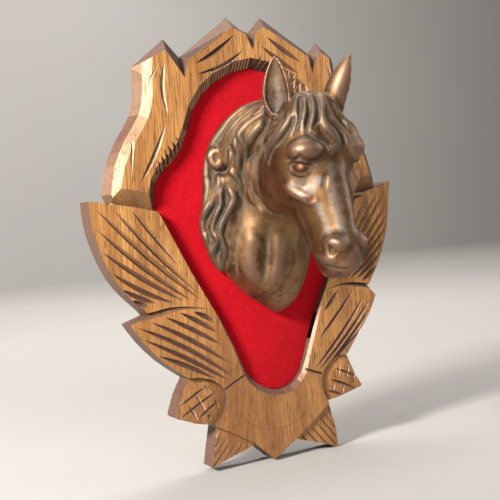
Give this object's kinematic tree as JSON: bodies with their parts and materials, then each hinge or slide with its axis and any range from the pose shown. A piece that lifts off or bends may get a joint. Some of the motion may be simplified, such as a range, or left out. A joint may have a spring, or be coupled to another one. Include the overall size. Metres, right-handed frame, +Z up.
{
  "type": "horse head wall plaque",
  "caption": "Carved wooden wall plaque with petals, wings and a shield around a felt-lined recess, from which a cast horse head with a wavy mane looks out.",
  "frame": {"origin": "on the flat back of the board, on its centre line, level with the top corners of the wings", "axes": "+X to the viewer's right, +Y into the wall, +Z up"},
  "size_m": [0.3162, 0.1579, 0.418],
  "materials": {
    "carved_wood": "oiled hardwood with dark-stained cuts",
    "red_felt": "red wool felt",
    "cast_bronze": "cast bronze, brown patina rubbed bright on the high places"
  },
  "bodies": {
    "root": {"carved_plaque": "carved_wood", "felt_lining": "red_felt", "horse_head": "cast_bronze"}
  },
  "joints": []
}
